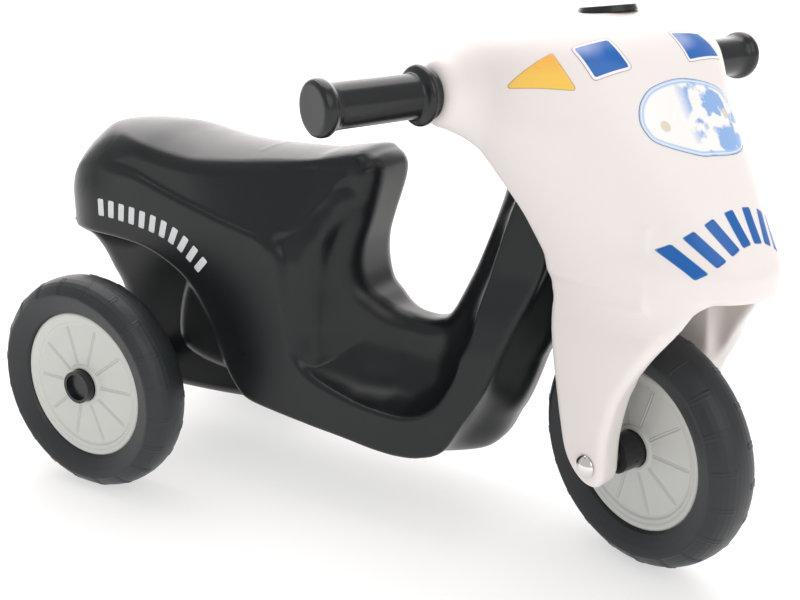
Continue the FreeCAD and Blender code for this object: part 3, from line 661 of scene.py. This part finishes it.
def moulded(name, field, low, high, to_row, body, material, replaced):
    """A piece whose surface is the field's zero level, within the two corners."""
    vertices, faces = surface_net(field, low, high, CELL)
    vertices = settle(field, vertices, 3)
    piece = new_piece(name, to_row(vertices), faces, body, material, replaced)
    return piece, vertices


CUSHION_LINE = ((185.0, 40.0), (197.0, 0.0))
CUSHION_HEIGHT, SEAM_TAIL, SEAM_HEIGHT, NO_LINE = 262.0, -60.0, 200.0, 9.0


def build_body():
    """The body, with each vertex's distance from its parting line and its cushion line."""
    piece, vertices = moulded("ride_on_body", body_field, (-104, -66, 58), (394, 66, 297),
                              body_to_row, "frame", body_plastic, ["body_shell"])
    x, y, z = vertices.T
    (x0, q0), (x1, q1) = CUSHION_LINE
    line = x - np.interp(np.abs(y), (q1, q0), (x1, x0))
    on_seam = (x > SEAM_TAIL) | (z < SEAM_HEIGHT)
    on_cushion = (z > CUSHION_HEIGHT) & (np.abs(y) < q0 + 1)
    add_values(piece, "seam", np.where(on_seam, y, NO_LINE))
    add_values(piece, "cushion_line", np.where(on_cushion, line, NO_LINE))


def build_shield():
    moulded("front_shield", shield_field, (276, -116, 60), (523, 116, 386), fork_to_row,
            "fork", shield_plastic, ["front_shield_fork"])


# ---------------------------------------------------------------- turned pieces

def frame_on(centre, axis):
    """Rows x, y, z of a right-handed frame whose y runs along the axis, z as upright as can be."""
    y = np.asarray(axis, float) / np.linalg.norm(axis)
    x = np.cross(y, (0, 0, 1))
    x /= np.linalg.norm(x)
    return np.asarray(centre, float), np.array([x, y, np.cross(x, y)])


def fine_profile(points, spacing):
    """The profile's corners with even points added between them."""
    points = np.array(points, float)
    out = [points[:1]]
    for a, b in zip(points[:-1], points[1:]):
        n = max(1, int(math.ceil(np.linalg.norm(b - a) / spacing)))
        out.append(a + (b - a) * np.linspace(0, 1, n + 1)[1:, None])
    return np.concatenate(out)


def turned(name, profile, place, body, material, replaced=(), turns=160, spacing=1.5,
           relief=None):
    """A ring or rod turned from a profile of (radius, distance along the axis).

    relief(angle, radius, along) gives a height to lift each point along the surface's normal."""
    centre, axes = place
    line = fine_profile(profile, spacing)
    tangent = np.gradient(line, axis=0)
    tangent /= np.maximum(np.linalg.norm(tangent, axis=1), 1e-9)[:, None]
    normal = np.stack([-tangent[:, 1], tangent[:, 0]], 1)
    angle = np.linspace(0, 2 * math.pi, turns, endpoint=False)
    radius, along_axis = line[:, 0][None], line[:, 1][None]
    lift = relief(angle[:, None], radius, along_axis) if relief else np.zeros((turns, len(line)))
    r = np.maximum(radius + lift * normal[:, 0], 0)
    a = along_axis + lift * normal[:, 1]
    local = np.stack([r * np.cos(angle)[:, None], np.broadcast_to(a, r.shape),
                      r * np.sin(angle)[:, None]], -1)
    vertices = local.reshape(-1, 3) @ axes + centre
    i, j = np.meshgrid(np.arange(turns), np.arange(len(line) - 1), indexing="ij")
    k, n = (i + 1) % turns, len(line)
    quads = np.stack([i * n + j, i * n + j + 1, k * n + j + 1, k * n + j], -1).reshape(-1, 4)
    piece = new_piece(name, vertices, quads, body, material, replaced)
    return piece, lift.reshape(-1)


TYRE_HALF_PROFILE = [(60.1, 9.0), (60.1, 12.2), (61.5, 14.2), (66, 16.6), (71, 18.9), (75, 20.3),
                     (76.2, 20.4), (77.2, 19.9), (80, 18.0), (83, 15.3), (85.4, 12.0), (87.0, 8.0),
                     (87.8, 4.0), (88.0, 0.0)]
TREAD_COUNT, TREAD_PITCH_SHIFT = 20, 0.5
TREAD_NEAR, TREAD_FAR, TREAD_HALF_WIDTH, TREAD_DEPTH = 19.2, 7.5, 1.5, 0.55


def tread(angle, radius, across):
    """Moulded loops that run from each shoulder towards the crown, and one vent mark."""
    lift = np.zeros(np.broadcast(angle, across).shape)
    for side, shift in ((1, 0.0), (-1, TREAD_PITCH_SHIFT)):
        pitch = 2 * math.pi / TREAD_COUNT
        turn = (angle + shift * pitch + pitch / 2) % pitch - pitch / 2
        arc = turn * radius
        span = np.clip(side * across, TREAD_FAR, TREAD_NEAR)
        away = np.hypot(arc, (side * across - span) * 1.25)
        wall = np.clip(1 - np.abs(away - TREAD_HALF_WIDTH) / 0.55, 0, 1)
        floor = (away < TREAD_HALF_WIDTH) * 0.35
        lift = lift - TREAD_DEPTH * np.maximum(wall, floor) * (radius > 77.0)
    ring = np.clip(1 - np.abs(radius - 76.9) / 0.8, 0, 1) * (np.abs(across) > 18)
    return lift - 0.35 * ring


RIM_OUTER_PROFILE = [(13.4, 1.0), (13.4, 11.2), (14.0, 11.9), (16.2, 11.9), (16.9, 11.3),
                     (17.3, 10.2), (30, 9.3), (42, 8.8), (49.5, 8.5), (51.2, 8.9), (52.4, 10.2),
                     (53.6, 10.6), (54.8, 10.9), (55.8, 11.7), (57.2, 12.2), (59.0, 12.0),
                     (60.0, 11.2), (60.1, 1.0), (13.4, 1.0)]
SPOKE_COUNT, SPOKE_FROM, SPOKE_TO = 10, 19.0, 46.5


def spokes(angle, radius, across):
    """Fine raised loops and pips on the disc, as on a ribbed moulding."""
    pitch = 2 * math.pi / SPOKE_COUNT
    arc = ((angle + pitch / 2) % pitch - pitch / 2) * radius
    reach = radius - np.clip(radius, SPOKE_FROM, SPOKE_TO)
    away = np.hypot(arc, reach)
    loop = np.clip(1 - np.abs(away - 1.05) / 0.5, 0, 1) * 0.42
    groove = np.clip(1 - away / 0.6, 0, 1) * 0.25
    pip = np.clip(1 - np.hypot(arc, radius - 48.3) / 0.8, 0, 1) * 0.6
    face = (across > 8.2) & (radius > 17.5) & (radius < 51)
    return np.where(face, loop - groove - pip, 0.0)


def build_wheel(label, centre, axis, body, tyre_node, faces):
    """Tyre and the rim halves named by faces: (+1 or -1 along the axis, CAD node)."""
    fine = 1
    place = frame_on(centre, axis)
    profile = TYRE_HALF_PROFILE + [(r, -y) for r, y in TYRE_HALF_PROFILE[-2::-1]]
    turned(f"{label}_tyre_skin", profile[::-1], place, body, tyre_rubber,
           [tyre_node], turns=720 // fine, spacing=0.7 * fine, relief=tread)
    for sense, cad in faces:
        side = frame_on(centre, np.asarray(axis) * sense)
        piece, lift = turned(f"{cad}_face", RIM_OUTER_PROFILE, side, body,
                             rim_face, [cad], turns=720 // fine, spacing=0.7 * fine, relief=spokes)
        add_values(piece, "lift", lift)


GRIP_PROFILE = [(10.9, 110.5), (16.2, 110.5), (16.5, 111.2), (16.5, 113.2), (17.2, 113.9),
                (18.0, 114.4), (18.1, 115.4), (18.7, 116.2), (19.8, 117.4), (20.1, 119.0),
                (19.8, 120.6), (18.8, 121.9), (16.8, 122.7), (15.4, 123.3), (14.8, 124.6),
                (14.7, 128), (14.7, 180), (14.9, 184), (15.6, 187), (16.6, 188.8), (17.5, 189.9),
                (18.2, 191.4), (18.4, 193.4), (18.2, 195.6), (17.5, 197.3), (16.2, 198.3),
                (14.6, 198.6), (8, 198.5), (0.2, 198.4)]


def build_grips():
    bar = fork_to_row(np.array([[BAR[0], 0.0, BAR[1]], [BAR[0], 1.0, BAR[1]]]))
    for side, sense in (("left", 1), ("right", -1)):
        place = frame_on(bar[0], (bar[1] - bar[0]) * sense)
        turned(f"grip_{side}_skin", GRIP_PROFILE[::-1], place, "fork", grip_plastic,
               [f"grip_{side}"], turns=128, spacing=0.8)


# ---------------------------------------------------------------- printed stickers


def round_corners(corners, radius, steps=7):
    """A convex polygon with its corners rounded, as a loop of 2-D points."""
    corners = np.array(corners, float)
    loop = []
    for a, b, c in zip(np.roll(corners, 1, 0), corners, np.roll(corners, -1, 0)):
        to_a, to_c = (a - b) / np.linalg.norm(a - b), (c - b) / np.linalg.norm(c - b)
        half = math.acos(np.clip(to_a @ to_c, -1, 1)) / 2
        back = radius / math.tan(half)
        start, end = b + to_a * back, b + to_c * back
        for t in np.linspace(0, 1, steps):
            loop.append((1 - t) ** 2 * start + 2 * t * (1 - t) * b + t * t * end)
    return np.array(loop)


def resample(loop, spacing):
    """The closed loop as points at even distances."""
    closed = np.concatenate([loop, loop[:1]])
    length = np.concatenate([[0], np.cumsum(np.linalg.norm(np.diff(closed, axis=0), axis=1))])
    at = np.linspace(0, length[-1], max(24, int(length[-1] / spacing)), endpoint=False)
    return np.stack([np.interp(at, length, closed[:, k]) for k in (0, 1)], 1)


LAY_START, LAY_ROUNDS, LAY_STEP, LAY_SHARE = 25.0, 60, (-3.0, 6.0), 0.8


def lay_on(field, points, inward, lift):
    """Moves points along inward until they lie lift above the field's surface."""
    points = points - inward * LAY_START
    for _ in range(LAY_ROUNDS):
        step = np.clip(field(*points.T) - lift, *LAY_STEP)
        points = points + inward * step[:, None] * LAY_SHARE
    return points


def plane_facing(facing):
    """Level and rising directions of the plane that faces a way, and the way into the piece."""
    out = np.asarray(facing, float) / np.linalg.norm(facing)
    across = np.array([-out[1], out[0], 0.0]) / math.hypot(out[0], out[1])
    return across, np.cross(out, across), -out


def film(name, field, origin, facing, loops, to_row, body, material):
    """Thin printed film with the outlines of convex loops, laid on a field's surface.

    The loops lie in the plane through origin. Each vertex carries how far it is inside its
    outline, and its place in the plane, for the print."""
    across, up, inward = plane_facing(facing)
    vertices, faces, depth, plane = [], [], [], []
    for loop in loops:
        loop = resample(loop, FILM_SPACING)
        n, middle = len(loop), loop.mean(0)
        rings = max(3, int(np.linalg.norm(loop - middle, axis=1).mean() / FILM_SPACING))
        share = np.linspace(1, 0, rings + 1)[:-1]
        flat = (middle + share[:, None, None] * (loop - middle)[None]).reshape(-1, 2)
        flat = np.concatenate([flat, middle[None], loop])
        place = np.asarray(origin, float) + flat[:, :1] * across + flat[:, 1:] * up
        lift = np.full(len(flat), FILM_LIFT)
        lift[-n:] = -FILM_LIFT
        first, centre = sum(len(v) for v in vertices), rings * n
        vertices.append(lay_on(field, place, inward, lift))
        depth.append(-loop_distance(flat, loop))
        plane.append(flat)
        i = np.arange(n)
        j = (i + 1) % n
        for ring in range(rings - 1):
            a, b = first + ring * n, first + (ring + 1) * n
            faces += np.stack([a + i, a + j, b + j, b + i], 1).tolist()
        last, edge = first + (rings - 1) * n, first + centre + 1
        faces += [(last + k, last + m, first + centre) for k, m in zip(i, j)]
        faces += np.stack([edge + i, edge + j, first + j, first + i], 1).tolist()
    mesh = bpy.data.meshes.new(name)
    mesh.from_pydata((to_row(np.concatenate(vertices)) * MM).tolist(), [], faces)
    piece = ride_on(name, mesh, body, material)
    plane = np.concatenate(plane)
    for label, values in (("depth", np.concatenate(depth)), ("across", plane[:, 0]),
                          ("up", plane[:, 1])):
        add_values(piece, label, values)


def bars_along(path, count, width, height):
    """Even upright bars along a path, each turned with it, as rounded four-cornered loops."""
    path = np.array(path, float)
    length = np.concatenate([[0], np.cumsum(np.linalg.norm(np.diff(path, axis=0), axis=1))])

    def at_length(at):
        return np.array([np.interp(at, length, path[:, k]) for k in (0, 1)])

    loops = []
    for at in np.linspace(0, length[-1], count):
        centre, chord = at_length(at), at_length(at + BAR_CHORD) - at_length(at - BAR_CHORD)
        w = chord / np.linalg.norm(chord) * width / 2
        h = np.array([-w[1], w[0]]) * height / width
        loops.append(round_corners([centre - w - h, centre + w - h, centre + w + h,
                                    centre - w + h], BAR_CORNER))
    return loops


FILM_LIFT, FILM_SPACING, BAR_CORNER, BAR_CHORD = 0.22, 1.0, 1.1, 6.0

# Each patch lies in the plane through its origin that faces the given way; its corners are
# millimetres across and up that plane.
SIGNAL_NEAR = dict(origin=(400.0, -72.9, 347.4), facing=(0.51, -0.76, 0.39),
                   corners=[(-26.5, -7.2), (21.8, -8.4), (3.6, 14.6)], radius=2.2)
SIGNAL_FAR = dict(origin=(402.0, 71.0, 349.0), facing=(0.51, 0.76, 0.39),
                  corners=[(-21.8, -8.4), (26.5, -7.2), (-3.6, 14.6)], radius=2.2)
MIRROR_NEAR = dict(origin=(419.6, -46.7, 356.9), facing=(0.67, -0.43, 0.6),
                   corners=[(-19.6, 7.3), (-6.0, -15.8), (19.6, -6.8), (6.0, 15.4)], radius=3.6)
MIRROR_FAR = dict(origin=(425.2, 28.0, 359.5), facing=(0.71, 0.26, 0.66),
                  corners=[(-15.9, 15.9), (-18.9, -9.2), (22.0, -14.8), (12.9, 8.0)], radius=2.6)
LAMP_PLANE, BARS_PLANE = 455.0, 505.0
LAMP_LOOP = [(-40, 325), (-35.5, 335), (-24, 342.5), (0, 345), (28, 338.5), (40, 330), (46.5, 318),
             (47, 306.5), (39, 300), (23, 298.5), (0, 300.5), (-12, 302), (-34, 310), (-39.5, 317)]
LAMP_BULBS = ((-26.0, 319.6), (30.0, 321.0))
SHIELD_BARS = dict(path=[(-41, 244), (-28, 253), (-14, 260), (0, 262), (14, 260), (28, 253),
                         (41, 244)], count=8, width=7.4, height=20.0)
PANEL_BARS = dict(path=[(-32, 217.8), (-24, 217.6), (3.5, 214.3), (22.9, 210.7), (38.7, 206.5),
                        (53, 199.5), (67.6, 188.3), (73, 183)], count=11, width=6.0, height=14.5)


def film_material(name, colour, rough, printed):
    """A glossy printed film; printed(tree, colour) draws on the plain colour."""
    def detail(tree, tint, height):
        return printed(tree, tint), height
    return finish_material(name, colour, tuple(0.92 * c for c in colour[:3]) + (1,), rough, 1800,
                           0.03, detail=detail, wear=0.2)


def band(tree, value, low, high, blur=0.15):
    """1 between low and high, 0 outside, with a short soft edge."""
    rise = node(tree, "ShaderNodeMapRange", From_Min=low - blur, From_Max=low + blur)
    fall = node(tree, "ShaderNodeMapRange", From_Min=high - blur, From_Max=high + blur,
                To_Min=1.0, To_Max=0.0)
    for edge in (rise, fall):
        tree.links.new(value, edge.inputs["Value"])
    return math_node(tree, "MULTIPLY", rise.outputs["Result"], fall.outputs["Result"])


def signal_print(tree, tint):
    top = band(tree, read_value(tree, "up"), 6.0, 60.0, 6.0)
    tint = mixed(tree, math_node(tree, "MULTIPLY", top, 0.7), tint, (0.95, 0.42, 0.09, 1))
    edge = band(tree, read_value(tree, "depth"), -2.0, 0.32)
    return mixed(tree, edge, tint, (0.42, 0.27, 0.16, 1))


def mirror_print(tree, tint):
    depth, across, up = (read_value(tree, name) for name in ("depth", "across", "up"))
    shine = math_node(tree, "MULTIPLY", band(tree, across, -40.0, -3.0, 6.0),
                      band(tree, up, 1.0, 40.0, 4.0))
    tint = mixed(tree, math_node(tree, "MULTIPLY", shine, 0.55), tint, (0.52, 0.58, 0.86, 1))
    tint = mixed(tree, band(tree, depth, 0.3, 2.0), tint, (0.9, 0.89, 0.93, 1))
    return mixed(tree, band(tree, depth, -2.0, 0.3), tint, (0.45, 0.30, 0.32, 1))


def lamp_print(tree, tint):
    depth, across, up = (read_value(tree, name) for name in ("depth", "across", "up"))
    place = tree.nodes.new("ShaderNodeTexCoord")
    patches = spread(tree, noise(tree, 70.0, 4.0, place), -6.2, 7.4)
    right = band(tree, across, -6.0, 80.0, 5.0)
    share = math_node(tree, "MULTIPLY", math_node(tree, "MINIMUM", math_node(
        tree, "MAXIMUM", patches, 0.0), 1.0), right)
    tint = mixed(tree, share, tint, (0.27, 0.45, 0.79, 1))
    for bulb_across, bulb_up in LAMP_BULBS:
        away = math_node(tree, "SQRT", math_node(tree, "ADD", *(
            math_node(tree, "POWER", math_node(tree, "SUBTRACT", v, centre), 2.0)
            for v, centre in ((across, bulb_across), (up, bulb_up)))))
        tint = mixed(tree, band(tree, away, -1.0, 3.1, 0.4), tint, (0.72, 0.66, 0.53, 1))
    ring = band(tree, depth, 0.4, 2.9, 0.5)
    tint = mixed(tree, math_node(tree, "MULTIPLY", ring, 0.85), tint, (0.36, 0.55, 0.86, 1))
    tint = mixed(tree, band(tree, depth, 1.1, 1.7, 0.25), tint, (0.80, 0.87, 0.95, 1))
    return mixed(tree, band(tree, depth, -2.0, 0.45), tint, (0.19, 0.27, 0.46, 1))


def edge_print(tree, tint):
    """A faint lighter line along the very edge of a printed bar."""
    edge = band(tree, read_value(tree, "depth"), -2.0, 0.2)
    return mixed(tree, math_node(tree, "MULTIPLY", edge, 0.4), tint, (0.70, 0.78, 0.86, 1))


def build_stickers():
    orange = film_material("orange_film", (0.955, 0.60, 0.105, 1), 0.3, signal_print)
    blue = film_material("blue_film", (0.004, 0.125, 0.455, 1), 0.25, mirror_print)
    lens = film_material("lens_film", (0.93, 0.915, 0.90, 1), 0.25, lamp_print)
    bar_blue = film_material("bar_blue", (0.003, 0.115, 0.42, 1), 0.3, edge_print)
    bar_white = film_material("bar_white", (0.74, 0.77, 0.78, 1), 0.35, edge_print)
    for name, spec, slot, film_look in (
            ("signal_film_right", SIGNAL_NEAR, "sticker_orange", orange),
            ("signal_film_left", SIGNAL_FAR, "sticker_orange", orange),
            ("mirror_film_right", MIRROR_NEAR, "sticker_blue", blue),
            ("mirror_film_left", MIRROR_FAR, "sticker_blue", blue)):
        film(name, shield_field, spec["origin"], spec["facing"],
             [round_corners(spec["corners"], spec["radius"])], fork_to_row, "fork", film_look)
    film("lamp_film", shield_field, (LAMP_PLANE, 0, 0), (1, 0, 0), [smooth_loop(LAMP_LOOP)],
         fork_to_row, "fork", lens)
    film("shield_bars", shield_field, (BARS_PLANE, 0, 0), (1, 0, 0), bars_along(**SHIELD_BARS),
         fork_to_row, "fork", bar_blue)
    for side, sense in (("right", -1), ("left", 1)):
        loops = [loop * (-sense, 1) for loop in bars_along(**PANEL_BARS)]
        film(f"panel_bars_{side}", body_field, (0, sense * (PANEL_HALF + 1), 0), (0, sense, 0),
             loops, body_to_row, "frame", bar_white)


# ------------------------------------------------------------------ camera and stage

CAMERA_PLACE = (0.4329, -0.7331, 0.4137)
CAMERA_TURN, CAMERA_DOWN, CAMERA_LENS = 30.65, 17.115, 49.53
FLOOR_REACH = 60.0


def add_camera():
    data = bpy.data.cameras.new("camera")
    data.lens, data.sensor_width, data.clip_end = CAMERA_LENS, 36.0, 200.0
    camera = bpy.data.objects.new("camera", data)
    camera.location = CAMERA_PLACE
    camera.rotation_euler = (math.radians(90 - CAMERA_DOWN), 0, math.radians(CAMERA_TURN))
    bpy.context.scene.collection.objects.link(camera)
    bpy.context.scene.camera = camera


def add_floor():
    paper = bpy.data.materials.new("paper")
    paper.use_nodes = True
    tree = paper.node_tree
    shader = tree.nodes["Principled BSDF"]
    place = tree.nodes.new("ShaderNodeTexCoord")
    cloud = noise(tree, 3.0, 2.0, place)
    tree.links.new(mixed(tree, cloud, (0.50, 0.495, 0.49, 1), (0.52, 0.515, 0.51, 1)),
                   shader.inputs["Base Color"])
    shader.inputs["Emission Color"].default_value = (1, 1, 1, 1)
    shader.inputs["Emission Strength"].default_value = 0.56
    shader.inputs["Roughness"].default_value = 0.9
    shader.inputs["Specular IOR Level"].default_value = 0.1
    r = FLOOR_REACH
    mesh = bpy.data.meshes.new("floor")
    mesh.from_pydata([(-r, -r, 0), (r, -r, 0), (r, r, 0), (-r, r, 0)], [], [(0, 1, 2, 3)])
    mesh.materials.append(paper)
    floor = bpy.data.objects.new("floor", mesh)
    bpy.context.scene.collection.objects.link(floor)


def add_sun(name, toward, strength, softness, colour=(1, 1, 1)):
    """A sun shining from the direction of toward."""
    data = bpy.data.lights.new(name, "SUN")
    data.energy, data.angle, data.color = strength, math.radians(softness), colour
    light = bpy.data.objects.new(name, data)
    x, y, z = toward
    light.rotation_euler = (math.atan2(math.hypot(x, y), z), 0, math.atan2(x, -y))
    bpy.context.scene.collection.objects.link(light)


def add_wall_light():
    """A tall soft light behind the toy, seen in its upward surfaces."""
    data = bpy.data.lights.new("wall", "AREA")
    data.shape, data.size, data.size_y, data.energy = "RECTANGLE", 4.8, 2.2, 62.0
    data.color = (1, 0.95, 0.94)
    light = bpy.data.objects.new("wall", data)
    light.location = (-1.3, 2.3, 1.25)
    light.rotation_euler = (math.radians(-90), 0, math.radians(30))
    bpy.context.scene.collection.objects.link(light)


def add_light():
    world = bpy.data.worlds.new("studio")
    world.use_nodes = True
    tree = world.node_tree
    tree.nodes["Background"].inputs["Color"].default_value = (1.0, 0.985, 0.98, 1)
    tree.nodes["Background"].inputs["Strength"].default_value = 0.62
    bpy.context.scene.world = world
    add_wall_light()
    add_sun("key", (-0.25, 0.45, 1.0), 1.9, 60, (1, 0.98, 0.97))
    add_sun("front", (1.0, -0.5, 0.7), 0.7, 50, (1, 0.975, 0.96))
    bpy.context.scene.view_settings.view_transform = "Standard"


add_camera()
dress_cad_nodes()
build_body()
build_shield()
for side in ("left", "right"):
    outward = 1 if side == "left" else -1
    name = f"rear_wheel_{side}"
    build_wheel(name, hinge_point(name + "_spin"), hinge_axis(name + "_spin"), name,
                f"rear_tyre_{side}", ((outward, f"rear_rim_outer_{side}"),
                                      (-outward, f"rear_rim_inner_{side}")))
build_wheel("front_wheel", hinge_point("front_wheel_spin"), hinge_axis("front_wheel_spin"),
            "front_wheel", "front_tyre", ((1, "front_rim_left"), (-1, "front_rim_right")))
build_grips()
build_stickers()
add_floor()
add_light()
